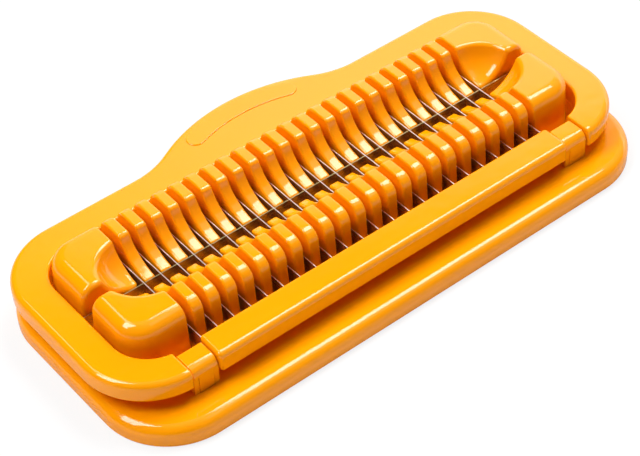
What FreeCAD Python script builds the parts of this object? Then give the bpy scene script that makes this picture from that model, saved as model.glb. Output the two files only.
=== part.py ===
import FreeCAD, Part
import math
import os

# A hinged sausage slicer, in millimetres.
# X runs along the trough, Y from the hinge at the front to the handle at the back, Z is up.
# The origin is on the table, under the middle of the long blade.

# Blades
slice_pitch = 6.35
cross_blade_count = 23
blade_thickness = 0.3
blade_height = 6.6
blade_bevel = 1.0
blade_edge_land = 0.08
tab_height = 2.15
tab_length = 3.5
tab_drop = 0.8
blade_end_gap = 0.15
lap_clearance = 0.05

# Base
deck_height = 7.0
deck_thickness = 2.4
base_wall = 2.4
base_edge_radius = 3.5
base_foot_radius = 0.6
base_corner_radius = 24.7
base_front_margin = 10.3
base_back_margin = 0.2
base_end_margin = 0.1
stiffener_thickness = 1.6
stiffener_lift = 0.8
stiffener_spacing = 36.0
rest_post_radius = 2.9
rest_post_setback = 0.7
rest_post_x = 58.0
rest_gap = 0.1

# Cradle
cradle_floor = 2.0
slot_depth_spare = 0.8
slot_width = 2.4
slot_edge_radius = 0.8
end_slot_edge_radius = 1.8
swing_clearance = 0.75
blade_above_trough = 0.9
trough_radius = 14.3
trough_depth = 9.9
trough_lip_radius = 2.0
rib_top_flat = 5.5
end_top_flat = 1.6
cradle_shoulder_radius = 4.6
cradle_corner_radius = 10.5
cradle_wall_lean = 3.5
cradle_foot_inset = 0.3
pocket_wall = 2.6

# Cradle screws
screw_radius = 1.45
screw_head_radius = 2.6
screw_head_height = 2.0
screw_head_room = 0.2
screw_bite = 6.0
screw_clearance = 0.05
screw_boss_wall = 2.0
screw_end_room = 0.5
screw_slot_width = 0.6

# Frame
frame_above_blades = 1.8
frame_end_gap = 0.8
frame_front_gap = 4.66
frame_back_gap = 1.66
arm_width = 11.7
rail_width = 11.9
bar_width = 10.6
frame_corner_radius = 24.0
frame_top_edge_radius = 2.2
frame_low_edge_radius = 0.8
frame_wall = 2.2
frame_inner_wall = 2.0
opening_corner_radius = 13.5
opening_edge_radius = 0.8
end_edge_radius = 0.7

# Handle
handle_rise = 12.0
handle_half_width = 46.0
handle_flare_radius = 29.7
pad_inset = 6.4
pad_length = 39.3
pad_half_width = 3.3
pad_height = 0.3
pad_edge_radius = 0.25

# Front bar
bar_overhang = 1.25
bar_proud = 0.3
bar_top_edge_radius = 1.9
bar_low_edge_radius = 0.4
bar_back_edge_radius = 0.8
bar_end_edge_radius = 1.2
bar_front_wall = 2.9
bar_back_wall = 1.3
bar_groove_margin = 0.35

# Hinge
hinge_setback = 5.1
journal_radius = 2.2
journal_root = 0.5
running_clearance = 0.05
lug_width = 9.0
lug_side_gap = 0.4
cap_drop = 0.8
cap_front_setback = 0.9
cap_back_setback = 1.2
cap_front_straight = 0.55
cap_back_radius = 0.6
cap_side_radius = 0.35
cap_seat_gap = 0.05
guide_setback = 0.1
guide_rib_width = 1.7
leg_thickness = 1.0
leg_recess = 0.2
leg_clearance = 0.15
barb_reach = 0.6
barb_height = 1.2

# Blade retainers
retainer_thickness = 1.95
retainer_clearance = 0.1
stake_radius = 1.1
stake_head_radius = 1.7
stake_head_height = 0.8
stake_clearance = 0.05
stake_edge_room = 0.4
arm_stake_y = 15.0
handle_stake_x = 10.0
rail_stake_x = 30.0
bar_stake_count = 4

# How far a cut runs past a face, and how close an edge must lie to a place to count as being there
overrun = 1.0
match = 0.01

# Heights, from the table up
slot_floor = deck_height + cradle_floor
blade_bottom = slot_floor + slot_depth_spare
blade_top = blade_bottom + blade_height
blade_middle = blade_bottom + blade_height / 2
tab_top = blade_top - tab_drop
tab_bottom = tab_top - tab_height
trough_floor = blade_top - blade_above_trough
trough_centre_z = trough_floor + trough_radius
cradle_top = trough_floor + trough_depth
lip_z = cradle_top - trough_lip_radius
shoulder_z = cradle_top - cradle_shoulder_radius
frame_top = blade_top + frame_above_blades
frame_bottom = tab_bottom - retainer_clearance - retainer_thickness
bar_top = frame_top + bar_proud
cap_top = frame_top - cap_drop
hinge_z = frame_bottom + journal_radius
deck_underside = deck_height - deck_thickness

# Places along X, from the middle out
blade_places = [(i - (cross_blade_count - 1) / 2) * slice_pitch for i in range(cross_blade_count)]
grid_half = blade_places[-1]
rib_width = slice_pitch - slot_width
end_block_start = grid_half + slot_width / 2
lean = math.radians(cradle_wall_lean)
lean_inset = (cradle_top - deck_height) * math.tan(lean)
shoulder_reach = (cradle_shoulder_radius + (shoulder_z - deck_height) * math.sin(lean)) / math.cos(lean)
lip_y = math.sqrt((trough_radius + trough_lip_radius) ** 2 - (trough_centre_z - lip_z) ** 2)
cradle_half_length = grid_half + lip_y + end_top_flat + shoulder_reach
opening_half = cradle_half_length + frame_end_gap
frame_half = opening_half + arm_width
base_half = frame_half + base_end_margin
bar_end = grid_half + bar_overhang
lug_centre_x = bar_end + lug_side_gap + lug_width / 2
arm_end = lug_centre_x + lug_width / 2 + lug_side_gap
screw_x = (end_block_start + cradle_half_length) / 2

# Places along Y, from the middle out
cradle_half_width = lip_y + rib_top_flat + shoulder_reach
shoulder_y = cradle_half_width - shoulder_reach
screw_y = cradle_half_width / 2
opening_front = -cradle_half_width - frame_front_gap
opening_back = cradle_half_width + frame_back_gap
frame_front = opening_front - bar_width
frame_back = opening_back + rail_width
base_front = frame_front - base_front_margin
base_back = frame_back + base_back_margin
groove_front = frame_front + bar_front_wall
groove_back = opening_front - bar_back_wall
handle_tip = frame_back + handle_rise
handle_sweep = 2 * math.degrees(math.atan2(handle_rise, handle_half_width))
handle_crown_radius = (handle_half_width**2 + handle_rise**2) / (2 * handle_rise) - handle_flare_radius
crown_centre_y = handle_tip - handle_crown_radius
hinge_y = frame_front + hinge_setback
cap_front = frame_front + cap_front_setback
cap_back = opening_front - cap_back_setback
seat_front = cap_front + guide_setback
bore_radius = journal_radius + running_clearance

# The long blade's slot leaves room for its edge, which swings about the hinge until it is out of the cradle
blade_swing = math.sqrt(hinge_y**2 + (hinge_z - blade_bottom) ** 2)
swing_forward = -hinge_y - math.sqrt(blade_swing**2 - (cradle_top - hinge_z) ** 2)
long_slot_front = blade_thickness / 2 + swing_forward + swing_clearance
long_slot_back = blade_thickness / 2 + blade_swing + hinge_y + swing_clearance

vector = FreeCAD.Vector
x_axis = vector(1, 0, 0)
y_axis = vector(0, 1, 0)
z_axis = vector(0, 0, 1)
origin = vector(0, 0, 0)


def box_between(x0, x1, y0, y1, z0, z1):
    """A block between two corners."""
    return Part.makeBox(x1 - x0, y1 - y0, z1 - z0, vector(x0, y0, z0))


def arc_about(x, y, radius, start, end):
    """A flat arc about a centre, between two angles in degrees."""
    circle = Part.Circle(vector(x, y, 0), z_axis, radius)
    return Part.Arc(circle, math.radians(start), math.radians(end)).toShape()


def line_between(x0, y0, x1, y1):
    """A flat straight edge."""
    return Part.LineSegment(vector(x0, y0, 0), vector(x1, y1, 0)).toShape()


def closed_wire(edges):
    """The edges joined end to end."""
    return Part.Wire(Part.__sortEdges__(edges))


def plate(edges, z0, z1):
    """A closed flat outline carried from one height to another."""
    face = Part.Face(closed_wire(edges))
    face.translate(vector(0, 0, z0))
    return face.extrude(vector(0, 0, z1 - z0))


def rounded_rectangle(half_length, front, back, radius):
    """The edges of a rectangle with four round corners, centred on X."""
    inner_x = half_length - radius
    low = front + radius
    high = back - radius
    return [
        line_between(-inner_x, front, inner_x, front),
        arc_about(inner_x, low, radius, 270, 360),
        line_between(half_length, low, half_length, high),
        arc_about(inner_x, high, radius, 0, 90),
        line_between(inner_x, back, -inner_x, back),
        arc_about(-inner_x, high, radius, 90, 180),
        line_between(-half_length, high, -half_length, low),
        arc_about(-inner_x, low, radius, 180, 270),
    ]


def edges_at(shape, x=None, y=None, z=None):
    """The edges that lie at each place given, in a plane for one place or on a line for two."""
    chosen = []
    for edge in shape.Edges:
        box = edge.BoundBox
        spans = ((x, box.XMin, box.XMax), (y, box.YMin, box.YMax), (z, box.ZMin, box.ZMax))
        if all(at is None or max(abs(low - at), abs(high - at)) < match for at, low, high in spans):
            chosen.append(edge)
    return chosen


def edges_above(edges, height):
    """Those of the edges that reach above a height."""
    return [edge for edge in edges if edge.BoundBox.ZMax > height + match]


def side_line(y0, z0, y1, z1):
    """A straight edge of a section in Y and Z."""
    return Part.LineSegment(vector(0, y0, z0), vector(0, y1, z1)).toShape()


def side_arc(y, z, radius, start, end):
    """An arc of a section in Y and Z, between two angles in degrees measured from +Y towards +Z."""
    points = [
        vector(0, y + radius * math.cos(math.radians(a)), z + radius * math.sin(math.radians(a)))
        for a in (start, (start + end) / 2, end)
    ]
    return Part.Arc(*points).toShape()


def bar_along_x(section, x0, x1):
    """A section given as edges in Y and Z, carried along X."""
    face = Part.Face(closed_wire(section))
    face.translate(vector(x0, 0, 0))
    return face.extrude(vector(x1 - x0, 0, 0))


def rod_along_x(radius, x0, x1, y, z):
    """A round bar along X."""
    return Part.makeCylinder(radius, x1 - x0, vector(x0, y, z), x_axis)


# Base: a hollow tray with a flat deck, stiffened below, with the hinge seats and two rest posts on top.

def leg_grooves():
    """The front and back grooves that the cap's legs slide in, as spans of Y."""
    front_end = cap_front + leg_thickness + leg_clearance
    back_start = cap_back - leg_recess - leg_thickness - leg_clearance
    return [(cap_front - leg_clearance, front_end), (back_start, cap_back)]


def hinge_seat(centre):
    """The lower half of a hinge: a block with a half bore."""
    half = lug_width / 2
    top = hinge_z - cap_seat_gap
    block = box_between(centre - half, centre + half, seat_front, cap_back, deck_height, top)
    return block.cut(rod_along_x(bore_radius, centre - half, centre + half, hinge_y, hinge_z))


def leg_room(centre):
    """The grooves and deck holes for one cap's legs, wider below the deck for their barbs."""
    half = lug_width / 2 - guide_rib_width
    spread = barb_reach + leg_clearance
    room = []
    for y0, y1 in leg_grooves():
        room.append(box_between(centre - half, centre + half, y0, y1, 0, hinge_z))
        room.append(box_between(centre - half, centre + half, y0 - spread, y1 + spread, 0, deck_underside))
    return room


def stiffeners():
    """Crossed ribs under the deck."""
    half = stiffener_thickness / 2
    count = int(base_half / stiffener_spacing)
    ribs = [box_between(-base_half, base_half, -half, half, stiffener_lift, deck_underside)]
    for i in range(-count, count + 1):
        x = i * stiffener_spacing
        ribs.append(box_between(x - half, x + half, base_front, base_back, stiffener_lift, deck_underside))
    return ribs[0].fuse(ribs[1:])


def rest_post(x):
    """A post on the deck that the closed frame's back rail rests on."""
    height = frame_bottom - rest_gap - deck_height
    foot = vector(x, opening_back + rest_post_setback + rest_post_radius, deck_height)
    return Part.makeCylinder(rest_post_radius, height, foot)


def base_tray():
    """The base moulding."""
    tray = plate(rounded_rectangle(base_half, base_front, base_back, base_corner_radius), 0, deck_height)
    tray = tray.makeFillet(base_edge_radius, edges_at(tray, z=deck_height))
    tray = tray.makeFillet(base_foot_radius, edges_at(tray, z=0))
    inside = rounded_rectangle(
        base_half - base_wall, base_front + base_wall, base_back - base_wall, base_corner_radius - base_wall
    )
    cavity = plate(inside, 0, deck_underside)
    added = [stiffeners().common(cavity)]
    removed = []
    for side in (-1, 1):
        added.append(hinge_seat(side * lug_centre_x))
        added.append(rest_post(side * rest_post_x))
        removed += leg_room(side * lug_centre_x)
    for x, y in screw_places():
        foot = vector(x, y, 0)
        removed.append(Part.makeCylinder(screw_radius + screw_clearance, deck_height, foot))
        removed.append(Part.makeCylinder(screw_head_radius + screw_head_room, deck_underside, foot))
    return tray.cut(cavity).fuse(added).removeSplitter().cut(removed)


def screw_places():
    """Where the four screws come up into the cradle's end blocks."""
    return [(sx * screw_x, sy * screw_y) for sx in (-1, 1) for sy in (-1, 1)]


def cradle_screws():
    """Four pan-head screws, heads against the underside of the deck."""
    head_foot = deck_underside - screw_head_height
    half_slot = screw_slot_width / 2
    screws = []
    for x, y in screw_places():
        head = Part.makeCylinder(screw_head_radius, screw_head_height, vector(x, y, head_foot))
        head = head.makeFillet(screw_head_height / 2, edges_at(head, z=head_foot))
        drive = box_between(
            x - screw_head_radius, x + screw_head_radius, y - half_slot, y + half_slot,
            head_foot, head_foot + screw_head_height / 2
        )
        shank = Part.makeCylinder(screw_radius, deck_thickness + screw_bite, vector(x, y, deck_underside))
        screws.append(head.cut(drive).fuse(shank).removeSplitter())
    return Part.makeCompound(screws)


# Cradle: two rows of ribs on a floor, with an end block at each end of the trough.

def trough_section(start_y):
    """Edges of one trough side, from a start near the floor up over the rounded lip, in Y and Z."""
    meet = math.degrees(math.atan2(lip_z - trough_centre_z, lip_y))
    begin = math.degrees(math.atan2(-math.sqrt(trough_radius**2 - start_y**2), start_y))
    return [
        side_arc(0, trough_centre_z, trough_radius, begin, meet),
        side_arc(lip_y, lip_z, trough_lip_radius, 180 + meet, 90),
    ]


def rib(slot_side):
    """One rib: trough side, lip, flat top, round shoulder and leaning outer wall, with eased slot edges."""
    wall_top_y = shoulder_y + cradle_shoulder_radius * math.cos(lean)
    wall_top_z = shoulder_z + cradle_shoulder_radius * math.sin(lean)
    floor_z = trough_centre_z - math.sqrt(trough_radius**2 - slot_side**2)
    edges = [side_line(slot_side, deck_height, slot_side, floor_z)]
    edges += trough_section(slot_side)
    edges += [
        side_line(lip_y, cradle_top, shoulder_y, cradle_top),
        side_arc(shoulder_y, shoulder_z, cradle_shoulder_radius, 90, cradle_wall_lean),
        side_line(wall_top_y, wall_top_z, cradle_half_width, deck_height),
        side_line(cradle_half_width, deck_height, slot_side, deck_height),
    ]
    body = bar_along_x(edges, 0, rib_width)
    eased = edges_above(edges_at(body, x=0) + edges_at(body, x=rib_width), floor_z)
    toe = edges_at(body, y=slot_side, z=floor_z)
    for x in (0, rib_width):
        toe += edges_at(body, x=x, y=slot_side)
    return body.makeFillet(slot_edge_radius, eased + toe)


def trough_cutter():
    """The sausage-shaped hollow: the trough's section carried along X and turned about each end."""
    above = cradle_top + overrun
    side = trough_section(0)
    side += [
        side_line(lip_y, cradle_top, lip_y, above),
        side_line(lip_y, above, 0, above),
        side_line(0, above, 0, trough_floor),
    ]
    half = bar_along_x(side, 0, grid_half)
    face = Part.Face(closed_wire(side))
    face.translate(vector(grid_half, 0, 0))
    end = face.revolve(vector(grid_half, 0, 0), z_axis, -180)
    return half.fuse([half.mirror(origin, y_axis), end])


def end_block():
    """The block at the +X end of the trough, split by the long blade's slot and hollow below."""
    half = cradle_half_length
    wide = cradle_half_width
    foot = closed_wire(rounded_rectangle(half, -wide, wide, cradle_corner_radius))
    foot.translate(vector(0, 0, deck_height))
    crest = closed_wire(
        rounded_rectangle(
            half - lean_inset, lean_inset - wide, wide - lean_inset, cradle_corner_radius - lean_inset
        )
    )
    crest.translate(vector(0, 0, cradle_top))
    block = Part.makeLoft([foot, crest], True, True)
    block = block.makeFillet(cradle_shoulder_radius, edges_at(block, z=cradle_top))
    block = block.common(box_between(end_block_start, half, -wide, wide, deck_height, cradle_top))
    block = block.cut(trough_cutter())
    slot = box_between(
        end_block_start, half, -long_slot_front, long_slot_back, slot_floor, cradle_top + overrun
    )
    block = block.cut(slot)
    beside_slot = edges_at(block, y=-long_slot_front) + edges_at(block, y=long_slot_back)
    block = block.makeFillet(end_slot_edge_radius, edges_above(beside_slot, trough_floor))
    block = block.makeFillet(slot_edge_radius, edges_above(edges_at(block, x=end_block_start), trough_floor))
    return block.cut(end_pockets())


def end_pockets():
    """The hollows under the +X end block, one each side of the slot, with the screw bosses left standing."""
    half = cradle_half_length - pocket_wall
    wide = cradle_half_width - pocket_wall
    top = trough_floor - pocket_wall
    start = end_block_start + pocket_wall
    outline = rounded_rectangle(half, -wide, wide, cradle_corner_radius - pocket_wall)
    hollow = plate(outline, deck_height, top)
    hollow = hollow.common(box_between(start, half, -wide, wide, deck_height, top))
    front = -long_slot_front - pocket_wall
    back = long_slot_back + pocket_wall
    hollow = hollow.cut(box_between(start, half, front, back, deck_height, top))
    boss_radius = screw_radius + screw_clearance + screw_boss_wall
    for side in (-1, 1):
        foot = vector(screw_x, side * screw_y, deck_height)
        hollow = hollow.cut(Part.makeCylinder(boss_radius, top - deck_height, foot))
    return hollow


def cradle():
    """The cradle moulding."""
    wide = cradle_half_width - cradle_foot_inset
    floor = box_between(-end_block_start, end_block_start, -wide, wide, deck_height, slot_floor)
    back_rib = rib(long_slot_back)
    front_rib = rib(long_slot_front).mirror(origin, y_axis)
    pieces = []
    for x in blade_places[:-1]:
        for pattern in (back_rib, front_rib):
            copy = pattern.copy()
            copy.translate(vector(x + slot_width / 2, 0, 0))
            pieces.append(copy)
    block = end_block()
    pieces.append(block)
    pieces.append(block.mirror(origin, x_axis))
    depth = screw_bite + screw_end_room
    holes = [
        Part.makeCylinder(screw_radius + screw_clearance, depth, vector(x, y, deck_height))
        for x, y in screw_places()
    ]
    return floor.fuse(pieces).cut(holes)


# Frame: a ring that is hollow below, with a handle behind, a bar in front and a journal at each lug.

def frame_outline(inset):
    """The frame's outline, moved in by a wall: a rounded rectangle whose back swells into the handle."""
    half = frame_half - inset
    front = frame_front + inset
    back = frame_back - inset
    radius = frame_corner_radius - inset
    inner_x = half - radius
    flare = handle_flare_radius + inset
    flare_y = frame_back + handle_flare_radius
    return [
        line_between(-inner_x, front, inner_x, front),
        arc_about(inner_x, front + radius, radius, 270, 360),
        line_between(half, front + radius, half, back - radius),
        arc_about(inner_x, back - radius, radius, 0, 90),
        line_between(inner_x, back, handle_half_width, back),
        arc_about(handle_half_width, flare_y, flare, 270 - handle_sweep, 270),
        arc_about(0, crown_centre_y, handle_crown_radius - inset, 90 - handle_sweep, 90 + handle_sweep),
        arc_about(-handle_half_width, flare_y, flare, 270, 270 + handle_sweep),
        line_between(-handle_half_width, back, -inner_x, back),
        arc_about(-inner_x, back - radius, radius, 90, 180),
        line_between(-half, back - radius, -half, front + radius),
        arc_about(-inner_x, front + radius, radius, 180, 270),
    ]


def opening_plate(grow, z0, z1):
    """The frame's opening, made larger by a wall."""
    outline = rounded_rectangle(
        opening_half + grow, opening_front - grow, opening_back + grow, opening_corner_radius + grow
    )
    return plate(outline, z0, z1)


def hinge_gap(end, z0, z1):
    """The space across the front of the ring, between its two arms."""
    back = opening_front + opening_corner_radius
    return box_between(-end, end, frame_front - overrun, back, z0, z1)


def channel_space(gap, z0, z1):
    """The hollow under the frame's arms, back and handle, drawn in by a gap."""
    space = plate(frame_outline(frame_wall + gap), z0, z1)
    space = space.cut(opening_plate(frame_inner_wall + gap, z0, z1))
    return space.cut(hinge_gap(arm_end + frame_wall + gap, z0, z1))


def bar_groove(gap, z1):
    """The groove under the front bar that takes the front retainer, drawn in by a gap."""
    end = grid_half + bar_groove_margin - gap
    return box_between(-end, end, groove_front + gap, groove_back - gap, frame_bottom, z1)


def stake_places():
    """Where the frame's moulded stakes pass through the rear retainer, midway between its walls."""
    arm_x = (opening_half + frame_inner_wall + frame_half - frame_wall) / 2
    places = [(sx * arm_x, sy * arm_stake_y) for sx in (-1, 1) for sy in (-1, 1)]
    for x in (handle_stake_x, rail_stake_x):
        crown_y = crown_centre_y + math.sqrt((handle_crown_radius - frame_wall) ** 2 - x**2)
        y = (opening_back + frame_inner_wall + crown_y) / 2
        places += [(-x, y), (x, y)]
    return places


def bar_stake_places():
    """Where the bar's moulded stakes pass through the front retainer, midway between two blades."""
    y = groove_front + stake_edge_room + stake_head_radius
    gap_count = cross_blade_count - 1
    chosen = [(2 * i + 1) * gap_count // (2 * bar_stake_count) for i in range(bar_stake_count)]
    return [(blade_places[n] + slice_pitch / 2, y) for n in chosen]


def stake(x, y, top):
    """A moulded stake that hangs from a ceiling, with its head melted over below the retainer."""
    foot = vector(x, y, frame_bottom)
    pin = Part.makeCylinder(stake_radius, top - frame_bottom, foot)
    return pin.fuse(Part.makeCylinder(stake_head_radius, stake_head_height, foot))


def stake_hole(x, y):
    """The stepped hole in a retainer that a stake fills."""
    foot = vector(x, y, frame_bottom)
    pin = Part.makeCylinder(stake_radius + stake_clearance, retainer_thickness, foot)
    head = Part.makeCylinder(stake_head_radius + stake_clearance, stake_head_height + stake_clearance, foot)
    return pin.fuse(head)


def front_bar():
    """The bar along the front: a flat top, an upright front and rounded edges and ends."""
    section = [
        side_line(opening_front, frame_bottom, opening_front, bar_top),
        side_line(opening_front, bar_top, frame_front, bar_top),
        side_line(frame_front, bar_top, frame_front, frame_bottom),
        side_line(frame_front, frame_bottom, opening_front, frame_bottom),
    ]
    bar = bar_along_x(section, -bar_end, bar_end)
    for y, z, radius in (
        (frame_front, bar_top, bar_top_edge_radius),
        (opening_front, bar_top, bar_back_edge_radius),
        (frame_front, frame_bottom, bar_low_edge_radius),
    ):
        bar = bar.makeFillet(radius, edges_at(bar, y=y, z=z))
    ends = edges_above(edges_at(bar, x=bar_end) + edges_at(bar, x=-bar_end), frame_bottom)
    return bar.makeFillet(bar_end_edge_radius, ends)


def handle_pad():
    """The plain raised pad on the handle, bent with the handle's crown, its ends round."""
    middle = handle_crown_radius - pad_inset
    half_angle = math.degrees(pad_length / 2 / middle)
    start = 90 - half_angle
    end = 90 + half_angle
    edges = [
        arc_about(0, crown_centre_y, middle + pad_half_width, start, end),
        arc_about(0, crown_centre_y, middle - pad_half_width, start, end),
    ]
    for angle, turn in ((start, start - 180), (end, end)):
        x = middle * math.cos(math.radians(angle))
        y = crown_centre_y + middle * math.sin(math.radians(angle))
        edges.append(arc_about(x, y, pad_half_width, turn, turn + 180))
    top = frame_top + pad_height
    pad = plate(edges, frame_top - pad_height, top)
    return pad.makeFillet(pad_edge_radius, edges_at(pad, z=top))


def blade_slots():
    """The slots for the blades' ends, open below: in the back rail, the front bar and both arms."""
    half = blade_thickness / 2 + lap_clearance
    top = tab_top + lap_clearance
    reach = tab_length + blade_end_gap
    back = opening_back + reach
    front = opening_front - reach
    end = opening_half + reach
    slots = []
    for x in blade_places:
        slots.append(box_between(x - half, x + half, opening_back - overrun, back, frame_bottom, top))
        slots.append(box_between(x - half, x + half, front, opening_front + overrun, frame_bottom, top))
    slots.append(box_between(-end, overrun - opening_half, -half, half, frame_bottom, top))
    slots.append(box_between(opening_half - overrun, end, -half, half, frame_bottom, top))
    return slots


def frame_ring():
    """The arms, back rail and handle, hollow below and open between the arms in front."""
    ring = plate(frame_outline(0), frame_bottom, frame_top)
    ring = ring.makeFillet(frame_top_edge_radius, edges_at(ring, z=frame_top))
    ring = ring.makeFillet(frame_low_edge_radius, edges_at(ring, z=frame_bottom))
    opening = opening_plate(0, frame_bottom, frame_top)
    rim = [edge.CenterOfMass for edge in edges_at(opening, z=frame_top)]
    ring = ring.cut(opening)
    inner = []
    for edge in edges_at(ring, z=frame_top):
        if min(edge.CenterOfMass.distanceToPoint(place) for place in rim) < match:
            inner.append(edge)
    ring = ring.makeFillet(opening_edge_radius, inner)
    ring = ring.cut(hinge_gap(arm_end, frame_bottom, frame_top))
    ends = edges_above(edges_at(ring, x=arm_end) + edges_at(ring, x=-arm_end), frame_bottom)
    ring = ring.makeFillet(end_edge_radius, ends)
    return ring.cut(channel_space(0, frame_bottom, tab_top))


def blade_frame():
    """The frame moulding."""
    added = [front_bar(), handle_pad()]
    length = arm_end - bar_end + 2 * journal_root
    for x in (-arm_end - journal_root, bar_end - journal_root):
        added.append(rod_along_x(journal_radius, x, x + length, hinge_y, hinge_z))
    frame = frame_ring().fuse(added)
    frame = frame.cut([bar_groove(0, tab_bottom)] + blade_slots())
    stakes = [stake(x, y, tab_top) for x, y in stake_places()]
    stakes += [stake(x, y, tab_bottom) for x, y in bar_stake_places()]
    return frame.fuse(stakes).removeSplitter()


def rear_blade_retainer():
    """The strip pressed into the hollow under the arms, back and handle."""
    strip = channel_space(retainer_clearance, frame_bottom, frame_bottom + retainer_thickness)
    return strip.cut([stake_hole(x, y) for x, y in stake_places()])


def front_blade_retainer():
    """The strip pressed into the groove under the front bar."""
    strip = bar_groove(retainer_clearance, frame_bottom + retainer_thickness)
    return strip.cut([stake_hole(x, y) for x, y in bar_stake_places()])


# Blades: ground strips that are notched half through where they cross, with a tab at each end.

def blade_strip(length):
    """A strip along X with a ground lower edge, centred on Y."""
    half = blade_thickness / 2
    land = blade_edge_land / 2
    ground = blade_bottom + blade_bevel
    corners = [
        (-half, blade_top), (half, blade_top), (half, ground),
        (land, blade_bottom), (-land, blade_bottom), (-half, ground),
    ]
    section = [side_line(*corners[i - 1], *corners[i]) for i in range(len(corners))]
    return bar_along_x(section, 0, length)


def tabbed_blade(start, end):
    """A blade along X between the two walls that hold it."""
    strip = blade_strip(end - start - 2 * blade_end_gap)
    strip.translate(vector(start + blade_end_gap, 0, 0))
    half = blade_thickness / 2
    tabs = [
        box_between(start - tab_length, start + overrun, -half, half, tab_bottom, tab_top),
        box_between(end - overrun, end + tab_length, -half, half, tab_bottom, tab_top),
    ]
    return strip.fuse(tabs).removeSplitter()


def notch(x, z0, z1):
    """The notch in a blade along X for a blade that crosses it."""
    half = blade_thickness / 2 + lap_clearance
    return box_between(x - half, x + half, -blade_thickness, blade_thickness, z0, z1)


def long_blade():
    """The blade along the trough, notched from above for each cross blade."""
    blade = tabbed_blade(-opening_half, opening_half)
    return blade.cut([notch(x, blade_middle - lap_clearance, blade_top) for x in blade_places])


def cross_blade(x):
    """A blade across the trough, notched from below for the long blade."""
    blade = tabbed_blade(opening_front, opening_back)
    blade = blade.cut(notch(0, blade_bottom, blade_middle + lap_clearance))
    blade.rotate(origin, z_axis, 90)
    blade.translate(vector(x, 0, 0))
    return blade


# Hinge caps: the upper half of each hinge, with two legs that snap through the deck.

def hinge_cap(centre):
    """One cap."""
    half = lug_width / 2
    foot = hinge_z + cap_seat_gap
    bend_z = foot + cap_front_straight
    front_radius = cap_top - bend_z
    front_y = cap_front + front_radius
    back_y = cap_back - cap_back_radius
    back_z = cap_top - cap_back_radius
    section = [
        side_line(cap_front, foot, cap_front, bend_z),
        side_arc(front_y, bend_z, front_radius, 180, 90),
        side_line(front_y, cap_top, back_y, cap_top),
        side_arc(back_y, back_z, cap_back_radius, 90, 0),
        side_line(cap_back, back_z, cap_back, foot),
        side_line(cap_back, foot, cap_front, foot),
    ]
    cap = bar_along_x(section, centre - half, centre + half)
    sides = edges_above(edges_at(cap, x=centre - half) + edges_at(cap, x=centre + half), foot)
    cap = cap.makeFillet(cap_side_radius, sides)
    cap = cap.cut(rod_along_x(bore_radius, centre - half, centre + half, hinge_y, hinge_z))
    return cap.fuse(cap_legs(centre)).removeSplitter()


def cap_legs(centre):
    """One cap's legs, the front one flush with its face, each with a barb that catches under the deck."""
    half = lug_width / 2 - guide_rib_width - leg_clearance
    root = hinge_z + cap_seat_gap + overrun
    barb_top = deck_underside - leg_clearance
    barb_foot = barb_top - barb_height
    (front_y0, front_y1), (back_y0, back_y1) = leg_grooves()
    front = front_y1 - leg_clearance
    back = back_y0 + leg_clearance
    return [
        box_between(centre - half, centre + half, cap_front, front, barb_foot, root),
        box_between(centre - half, centre + half, cap_front - barb_reach, front, barb_foot, barb_top),
        box_between(centre - half, centre + half, back, back_y1 - leg_recess, barb_foot, root),
        box_between(centre - half, centre + half, back, back_y1 + barb_reach, barb_foot, barb_top),
    ]


os.makedirs("parts", exist_ok=True)
nodes = {
    "base_tray": base_tray(),
    "cradle": cradle(),
    "cradle_screws": cradle_screws(),
    "hinge_cap_left": hinge_cap(-lug_centre_x),
    "hinge_cap_right": hinge_cap(lug_centre_x),
    "blade_frame": blade_frame(),
    "rear_blade_retainer": rear_blade_retainer(),
    "front_blade_retainer": front_blade_retainer(),
    "long_blade": long_blade(),
}
for number, place in enumerate(blade_places, 1):
    nodes[f"cross_blade_{number:02d}"] = cross_blade(place)
for name, shape in nodes.items():
    shape.exportStep("parts/" + name + ".step")
    print(name, shape.isValid(), len(shape.Solids), round(shape.Volume, 1))
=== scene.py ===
import math

import bpy
import numpy as np
from mathutils import Matrix, Vector


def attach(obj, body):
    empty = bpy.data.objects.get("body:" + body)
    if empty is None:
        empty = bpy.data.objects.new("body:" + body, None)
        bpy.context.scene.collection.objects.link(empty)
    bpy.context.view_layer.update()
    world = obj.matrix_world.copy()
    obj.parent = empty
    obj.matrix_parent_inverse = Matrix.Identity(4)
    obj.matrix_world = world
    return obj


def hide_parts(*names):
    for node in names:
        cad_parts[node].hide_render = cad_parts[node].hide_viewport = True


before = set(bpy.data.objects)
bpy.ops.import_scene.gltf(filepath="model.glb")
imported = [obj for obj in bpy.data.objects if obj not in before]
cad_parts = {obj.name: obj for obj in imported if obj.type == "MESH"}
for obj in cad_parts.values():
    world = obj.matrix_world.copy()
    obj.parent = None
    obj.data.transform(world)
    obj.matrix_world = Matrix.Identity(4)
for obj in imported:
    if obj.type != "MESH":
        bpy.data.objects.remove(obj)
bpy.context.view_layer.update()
scene = bpy.context.scene


# Base tray. One low hollow tray, injection moulded in glossy yellow-orange plastic: a flat deck with a fully
# rounded rim, crossed ribs below, two rest posts for the closed frame behind, and the lower halves of the two
# hinges on the front of the deck. It stands on its rim.

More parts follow.
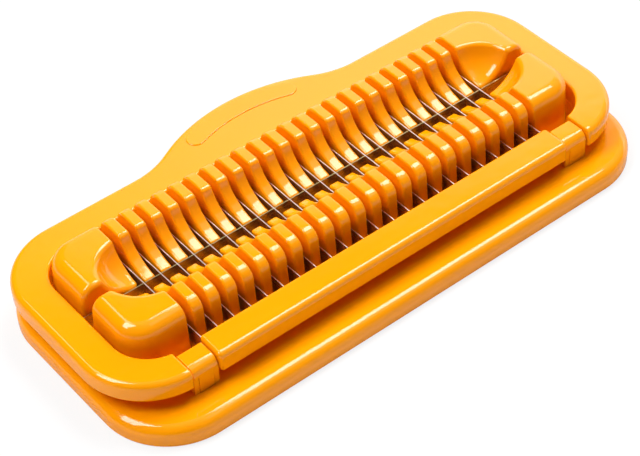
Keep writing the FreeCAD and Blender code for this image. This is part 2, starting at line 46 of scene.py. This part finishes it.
def joined_skin(node, name, crease_degrees=32.0, weld_steps_per_metre=1.0e7):
    """A new mesh object of a node's triangles with equal corners joined, shaded round across every edge that
    bends less than the crease. Corner normals are weighted by face area, so flats stay flat up to their edge."""
    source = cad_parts[node].data
    corners = np.empty(len(source.vertices) * 3, np.float32)
    source.vertices.foreach_get("co", corners)
    triangles = np.empty(len(source.loops), np.int32)
    source.loops.foreach_get("vertex_index", triangles)
    grid = np.round(corners.reshape(-1, 3) * weld_steps_per_metre).astype(np.int64)
    _, first, joined = np.unique(grid, axis=0, return_index=True, return_inverse=True)
    faces = joined.reshape(-1)[triangles].reshape(-1, 3)
    whole = (faces[:, 0] != faces[:, 1]) & (faces[:, 1] != faces[:, 2]) & (faces[:, 2] != faces[:, 0])
    mesh = bpy.data.meshes.new(name)
    mesh.from_pydata(corners.reshape(-1, 3)[first], [], faces[whole])
    mesh.polygons.foreach_set("use_smooth", np.ones(len(mesh.polygons), bool))
    mesh.set_sharp_from_angle(angle=math.radians(crease_degrees))
    piece = bpy.data.objects.new(name, mesh)
    scene.collection.objects.link(piece)
    weighted = piece.modifiers.new("flat_faces", "WEIGHTED_NORMAL")
    weighted.mode = "FACE_AREA"
    weighted.keep_sharp = True
    return piece


def shader_group(name, inputs, outputs):
    """An empty shader node group with named sockets, and its two end nodes."""
    group = bpy.data.node_groups.new(name, "ShaderNodeTree")
    for socket, kind in inputs:
        group.interface.new_socket(socket, in_out="INPUT", socket_type=kind)
    for socket, kind in outputs:
        group.interface.new_socket(socket, in_out="OUTPUT", socket_type=kind)
    return group, group.nodes.new("NodeGroupInput"), group.nodes.new("NodeGroupOutput")


def add_node(tree, kind, settings=None, **values):
    """One node with its settings and its unlinked input values, given by socket name with _ for a space."""
    made = tree.nodes.new(kind)
    for key, value in (settings or {}).items():
        setattr(made, key, value)
    for key, value in values.items():
        made.inputs[key.replace("_", " ")].default_value = value
    return made


def add_noise(tree, vector, seed, **values):
    """A noise texture of a vector, with its fourth place taken from a seed socket."""
    made = add_node(tree, "ShaderNodeTexNoise", {"noise_dimensions": "4D"}, **values)
    tree.links.new(vector, made.inputs["Vector"])
    tree.links.new(seed, made.inputs["W"])
    return made


def add_math(tree, operation, first, second):
    """A math node of two sockets or numbers."""
    made = add_node(tree, "ShaderNodeMath", {"operation": operation})
    for slot, value in zip(made.inputs, (first, second)):
        if isinstance(value, float):
            slot.default_value = value
        else:
            tree.links.new(value, slot)
    return made.outputs["Value"]


def moulding_finish():
    """The finish of moulded plastic from its position. Tone is a slow drift from the melt's flow. Rough is fine
    use scratches in two directions over the tool's own grain. Height is the shrinkage ripple of the surface,
    cut by the same scratches."""
    vector, value = "NodeSocketVector", "NodeSocketFloat"
    group, start, end = shader_group(
        "moulding_finish", [("Position", vector), ("Seed", value)],
        [("Tone", value), ("Rough", value), ("Height", value)],
    )
    link = group.links.new
    place, seed = start.outputs["Position"], start.outputs["Seed"]
    flow = add_noise(group, place, seed, Scale=22.0, Detail=4.0, Roughness=0.6)
    link(flow.outputs["Fac"], end.inputs["Tone"])
    masks = []
    for turn, lengthwise, crosswise in ((0.5, 34.0, 3600.0), (-0.9, 52.0, 4200.0)):
        stretch = (lengthwise, crosswise, crosswise)
        drawn = add_node(group, "ShaderNodeMapping", Rotation=(0.0, 0.0, turn), Scale=stretch)
        link(place, drawn.inputs["Vector"])
        streak = add_noise(group, drawn.outputs["Vector"], seed, Scale=1.0, Detail=1.0)
        mask = add_node(group, "ShaderNodeMapRange", From_Min=0.66, From_Max=0.74)
        link(streak.outputs["Fac"], mask.inputs["Value"])
        masks.append(mask.outputs["Result"])
    scratch = add_math(group, "MAXIMUM", *masks)
    grain = add_noise(group, place, seed, Scale=2400.0, Detail=2.0)
    fine = add_math(group, "MULTIPLY", grain.outputs["Fac"], 0.35)
    link(add_math(group, "ADD", fine, scratch), end.inputs["Rough"])
    ripple = add_noise(group, place, seed, Scale=210.0, Detail=2.0, Roughness=0.4)
    cut = add_math(group, "MULTIPLY", scratch, 0.03)
    link(add_math(group, "SUBTRACT", ripple.outputs["Fac"], cut), end.inputs["Height"])
    return group


MOULDING = moulding_finish()


def plastic(name, seed, sinks=()):
    """Glossy yellow-orange plastic with the moulding finish. Sinks are shallow dips in the surface over thick
    places, given as X and Y and mirrored about the middle."""
    material = bpy.data.materials.new(name)
    material.use_nodes = True
    tree = material.node_tree
    link = tree.links.new
    shader = tree.nodes["Principled BSDF"]
    shader.inputs["IOR"].default_value = 1.49
    place = tree.nodes.new("ShaderNodeTexCoord").outputs["Object"]
    finish = tree.nodes.new("ShaderNodeGroup")
    finish.node_tree = MOULDING
    finish.inputs["Seed"].default_value = seed
    link(place, finish.inputs["Position"])
    deep_tone, light_tone = (0.93, 0.300, 0.0005, 1.0), (0.98, 0.342, 0.0010, 1.0)
    colour = add_node(tree, "ShaderNodeMix", {"data_type": "RGBA"})
    colour.inputs["A"].default_value = deep_tone
    colour.inputs["B"].default_value = light_tone
    link(finish.outputs["Tone"], colour.inputs["Factor"])
    link(colour.outputs["Result"], shader.inputs["Base Color"])
    rough = add_node(tree, "ShaderNodeMapRange", To_Min=0.055, To_Max=0.15)
    link(finish.outputs["Rough"], rough.inputs["Value"])
    link(rough.outputs["Result"], shader.inputs["Roughness"])
    height = finish.outputs["Height"]
    if sinks:
        split = tree.nodes.new("ShaderNodeSeparateXYZ")
        link(place, split.inputs["Vector"])
        folded = tree.nodes.new("ShaderNodeCombineXYZ")
        link(add_math(tree, "ABSOLUTE", split.outputs["X"], 0.0), folded.inputs["X"])
        link(split.outputs["Y"], folded.inputs["Y"])
        sink_radius, sink_rise = 0.0032, 0.3
        nearest = 1.0
        for x, y in sinks:
            away = add_node(tree, "ShaderNodeVectorMath", {"operation": "DISTANCE"})
            link(folded.outputs["Vector"], away.inputs[0])
            away.inputs[1].default_value = (x, y, 0.0)
            nearest = add_math(tree, "MINIMUM", away.outputs["Value"], nearest)
        dip = add_node(
            tree, "ShaderNodeMapRange", {"interpolation_type": "SMOOTHSTEP"}, From_Max=sink_radius, To_Max=sink_rise,
        )
        link(nearest, dip.inputs["Value"])
        height = add_math(tree, "ADD", height, dip.outputs["Result"])
    bump = add_node(tree, "ShaderNodeBump", Strength=0.12, Distance=0.0002)
    link(height, bump.inputs["Height"])
    link(bump.outputs["Normal"], shader.inputs["Normal"])
    return material


def skin(node, body, material):
    """A joined skin of a plastic node that stands for it on its body."""
    piece = joined_skin(node, node + "_skin")
    piece.data.materials.append(material)
    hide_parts(node)
    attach(piece, body)


skin("base_tray", "base", plastic("base_plastic", 1.3))


# Cradle. One moulding of the same plastic: two rows of round-shouldered ribs with the trough between them, and
# a hollow block at each end with the trough's ball-shaped end in it. It stands on the deck and is screwed to it
# from below.

skin("cradle", "base", plastic("cradle_plastic", 4.7))


# Cradle screws. Four slotted pan-head screws of zinc-plated steel, driven up through the deck into the bosses of
# the cradle's end blocks. Only their heads show, under the base.

def steel(name, seed, along, dark, pale, smooth, rough, reflection_from=1.0, edge_reflection_tone=(0.66, 0.57, 0.52)):
    """Drawn steel: fine lines along one axis in tone, roughness and height, under a slow cloud of tone. Above a
    height, on the strip's slit edge, its colour is a painted reflection tone that stands in for how that edge catches
    the light."""
    material = bpy.data.materials.new(name)
    material.use_nodes = True
    tree = material.node_tree
    link = tree.links.new
    shader = tree.nodes["Principled BSDF"]
    shader.inputs["Metallic"].default_value = 1.0
    place = tree.nodes.new("ShaderNodeTexCoord").outputs["Object"]
    lengthwise, crosswise = 30.0, 5200.0
    stretch = [crosswise] * 3
    stretch[along] = lengthwise
    drawn = add_node(tree, "ShaderNodeMapping", Scale=stretch)
    link(place, drawn.inputs["Vector"])
    settings = {"noise_dimensions": "4D"}
    lines = add_node(tree, "ShaderNodeTexNoise", settings, W=seed, Scale=1.0, Detail=2.0)
    link(drawn.outputs["Vector"], lines.inputs["Vector"])
    cloud = add_node(tree, "ShaderNodeTexNoise", settings, W=seed, Scale=130.0, Detail=3.0)
    link(place, cloud.inputs["Vector"])
    tone = add_node(tree, "ShaderNodeMix", {"data_type": "FLOAT"}, Factor=0.4)
    link(lines.outputs["Fac"], tone.inputs["A"])
    link(cloud.outputs["Fac"], tone.inputs["B"])
    colour = add_node(tree, "ShaderNodeMix", {"data_type": "RGBA"})
    colour.inputs["A"].default_value = (*dark, 1.0)
    colour.inputs["B"].default_value = (*pale, 1.0)
    link(tone.outputs["Result"], colour.inputs["Factor"])
    split = tree.nodes.new("ShaderNodeSeparateXYZ")
    link(place, split.inputs["Vector"])
    reflection_blend = 0.0002
    # Above this height the top edge gets a painted reflection tone in place of the drawn steel's colour.
    reflection_band = add_node(tree, "ShaderNodeMapRange", From_Min=reflection_from, From_Max=reflection_from + reflection_blend)
    link(split.outputs["Z"], reflection_band.inputs["Value"])
    with_reflection = add_node(tree, "ShaderNodeMix", {"data_type": "RGBA"})
    with_reflection.inputs["B"].default_value = (*edge_reflection_tone, 1.0)
    link(reflection_band.outputs["Result"], with_reflection.inputs["Factor"])
    link(colour.outputs["Result"], with_reflection.inputs["A"])
    link(with_reflection.outputs["Result"], shader.inputs["Base Color"])
    sheen = add_node(tree, "ShaderNodeMapRange", To_Min=smooth, To_Max=rough)
    link(tone.outputs["Result"], sheen.inputs["Value"])
    link(sheen.outputs["Result"], shader.inputs["Roughness"])
    bump = add_node(tree, "ShaderNodeBump", Strength=0.15, Distance=0.00001)
    link(lines.outputs["Fac"], bump.inputs["Height"])
    link(bump.outputs["Normal"], shader.inputs["Normal"])
    return material


def finish_node(node, material):
    """Gives a carried-over node its material."""
    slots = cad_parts[node].data.materials
    slots.clear()
    slots.append(material)


finish_node("cradle_screws", steel("screw_zinc", 9.0, 2, (0.42, 0.43, 0.44), (0.62, 0.62, 0.60), 0.14, 0.36))


# Hinge caps. Two small mouldings of the same plastic, the upper halves of the hinges. Each closes over one of the
# frame's journals, and its two legs snap through the deck, the front one flush with the cap's face.

for side, seed in (("left", 7.1), ("right", 8.9)):
    skin("hinge_cap_" + side, "base", plastic("cap_plastic_" + side, seed))


# Blade frame. The hinged ring that holds the blades, moulded in one with its handle, the plain raised pad on the
# handle and the front bar that carries the hinge journals. It is hollow below, and its top sinks a little over
# the stakes that hold the retainers and over the thick front corners.

frame_sinks = ((0.0984, 0.015), (0.0984, -0.015), (0.0931, -0.0302), (0.010, 0.0390), (0.030, 0.0356))
skin("blade_frame", "slicer_frame", plastic("frame_plastic", 11.6, frame_sinks))


# Blades. One long blade under the middle of the trough and twenty-three across it, of thin stainless strip ground
# to an edge below. They are lapped half into each other where they cross, and a tab at each end lies in the frame.

# Above this height the blades' top edges carry a painted reflection tone: dark olive on the long blade, pale pink on
# the cross blades.
reflection_tone_height = 0.0161
long_steel = steel(
    "long_blade_steel", 2.0, 0, (0.52, 0.43, 0.31), (0.76, 0.65, 0.49), 0.20, 0.36,
    reflection_tone_height, (0.44, 0.35, 0.16),
)
cross_steel = steel(
    "cross_blade_steel", 5.0, 1, (0.42, 0.36, 0.31), (0.62, 0.55, 0.49), 0.20, 0.36, reflection_tone_height,
)
finish_node("long_blade", long_steel)
for number in range(1, 24):
    finish_node(f"cross_blade_{number:02d}", cross_steel)


# Blade retainers. Two flat strips of the same plastic that are pressed in under the frame's hollow and under the
# front bar. They hold the blades' tabs up in their slots, and the frame's stakes are melted over in them.

for node, seed in (("rear_blade_retainer", 13.2), ("front_blade_retainer", 15.4)):
    skin(node, "slicer_frame", plastic(node + "_plastic", seed))


# Floor. A plain white table that runs out of sight, painted matt. It gives its light back to the object's sides,
# shows the camera a near-white with the object's faint shadow, and shows in the gloss as the lit white table.

floor_half = 6.0
mesh = bpy.data.meshes.new("floor")
corner_signs = ((-1, -1), (1, -1), (1, 1), (-1, 1))
mesh.from_pydata([(x * floor_half, y * floor_half, 0) for x, y in corner_signs], [], [(0, 1, 2, 3)])
floor = bpy.data.objects.new("floor", mesh)
scene.collection.objects.link(floor)
floor_paint = bpy.data.materials.new("floor_white")
floor_paint.use_nodes = True
tree = floor_paint.node_tree
link = tree.links.new
shader = tree.nodes["Principled BSDF"]
shader.inputs["Roughness"].default_value = 0.9
shader.inputs["Specular IOR Level"].default_value = 0.0
shader.inputs["Emission Color"].default_value = (1.0, 1.0, 1.0, 1.0)
rays = tree.nodes.new("ShaderNodeLightPath").outputs
mirrored = add_math(tree, "MAXIMUM", rays["Is Glossy Ray"], rays["Is Transmission Ray"])
seen = rays["Is Camera Ray"]
seen_glow, mirrored_glow = 0.80, 0.05
glow = add_math(
    tree, "MAXIMUM", add_math(tree, "MULTIPLY", seen, seen_glow), add_math(tree, "MULTIPLY", mirrored, mirrored_glow),
)
link(glow, shader.inputs["Emission Strength"])
lit_paint, seen_drop, mirrored_drop = 0.93, 0.78, 0.45
paint = add_math(tree, "SUBTRACT", lit_paint, add_math(tree, "MULTIPLY", seen, seen_drop))
paint = add_math(tree, "SUBTRACT", paint, add_math(tree, "MULTIPLY", mirrored, mirrored_drop))
link(paint, shader.inputs["Base Color"])
mesh.materials.append(floor_paint)


# Light. Two level softboxes hang above, one to the left and one to the right, with a dim card before the right
# one and a turned strip behind, as in a product tent. A white backdrop stands behind to the right, and its leaning
# top edge shows in the level faces. The ceiling is grey, and the wall in front is pale only near the table.

def softbox(name, place, size, radiance, turn=0.0):
    """A level rectangular area lamp that shines straight down. Its power is radiance times area times pi."""
    data = bpy.data.lights.new(name, "AREA")
    data.shape = "RECTANGLE"
    data.size, data.size_y = size
    data.energy = math.pi * size[0] * size[1] * radiance
    lamp = bpy.data.objects.new(name, data)
    lamp.location = place
    lamp.rotation_euler = (0.0, 0.0, math.radians(turn))
    scene.collection.objects.link(lamp)


softbox("right_softbox", (0.53, 0.19, 1.0), (0.46, 0.60), 12.0)
softbox("left_softbox", (-0.62, 0.28, 1.0), (0.84, 0.42), 11.8)
softbox("front_card", (0.45, -0.33, 1.0), (0.60, 0.44), 0.8)
softbox("back_card", (-0.05, 0.62, 1.0), (0.20, 0.58), 4.5, -27.0)

world = bpy.data.worlds.new("room")
scene.world = world
world.use_nodes = True
tree = world.node_tree
link = tree.links.new
room = tree.nodes["Background"]
room.inputs["Color"].default_value = (1.0, 1.0, 1.0, 1.0)
direction = tree.nodes.new("ShaderNodeTexCoord")
split = tree.nodes.new("ShaderNodeSeparateXYZ")
link(direction.outputs["Generated"], split.inputs["Vector"])
across, rise = split.outputs["X"], split.outputs["Z"]
above = add_math(tree, "MAXIMUM", rise, 0.02)
back_slope = add_math(tree, "DIVIDE", split.outputs["Y"], above)
side_slope = add_math(tree, "DIVIDE", across, above)


def ramp(value, start, end, low, high):
    """A smooth step of a socket between two places, from one strength to another."""
    made = add_node(
        tree, "ShaderNodeMapRange", {"interpolation_type": "SMOOTHSTEP"},
        From_Min=start, From_Max=end, To_Min=low, To_Max=high,
    )
    link(value, made.inputs["Value"])
    return made.outputs["Result"]


edge_lean = 0.33
top_edge = add_math(tree, "ADD", back_slope, add_math(tree, "MULTIPLY", side_slope, edge_lean))
backdrop = add_math(tree, "MULTIPLY", ramp(top_edge, 0.98, 1.12, 0.0, 1.0), ramp(across, 0.2, 0.5, 0.05, 1.75))
backdrop = add_math(tree, "MULTIPLY", backdrop, ramp(rise, 0.0, 0.6, 0.85, 1.0))
ceiling = add_math(tree, "MULTIPLY", ramp(back_slope, 0.60, 0.70, 0.5, 0.02), ramp(back_slope, -1.0, 0.2, 0.2, 1.0))
ceiling = add_math(tree, "MULTIPLY", ceiling, ramp(across, -0.3, 0.3, 0.3, 1.0))
front_wall = ramp(back_slope, -9.0, -4.0, 0.8, 0.0)
brightness = add_math(tree, "ADD", add_math(tree, "ADD", backdrop, ceiling), front_wall)
link(brightness, room.inputs["Strength"])


# Camera. A long lens above the front left corner looks down on the slicer. It is rolled a little, and its place,
# angle and focal length are those at which the model's outline falls on the pictured one.

view_azimuth = math.radians(-36.953)
view_elevation = math.radians(44.15)
view_roll = math.radians(-2.871)
view_distance = 0.6166
view_shift = (-0.000680, -0.003330)
focal_length, picture_width = 1868.36, 640
back = Vector((
    math.sin(view_azimuth) * math.cos(view_elevation),
    -math.cos(view_azimuth) * math.cos(view_elevation),
    math.sin(view_elevation),
))
level_right = Vector((math.cos(view_azimuth), math.sin(view_azimuth), 0.0))
level_up = back.cross(level_right)
right = math.cos(view_roll) * level_right + math.sin(view_roll) * level_up
upward = -math.sin(view_roll) * level_right + math.cos(view_roll) * level_up
lens = bpy.data.cameras.new("camera")
lens.sensor_width = 36.0
lens.lens = focal_length * lens.sensor_width / picture_width
lens.clip_start = 0.01
camera = bpy.data.objects.new("camera", lens)
turned = Matrix((right, upward, back)).transposed().to_4x4()
place = right * view_shift[0] + upward * view_shift[1] + back * view_distance
camera.matrix_world = Matrix.Translation(place) @ turned
scene.collection.objects.link(camera)
scene.camera = camera
scene.view_settings.view_transform = "Standard"
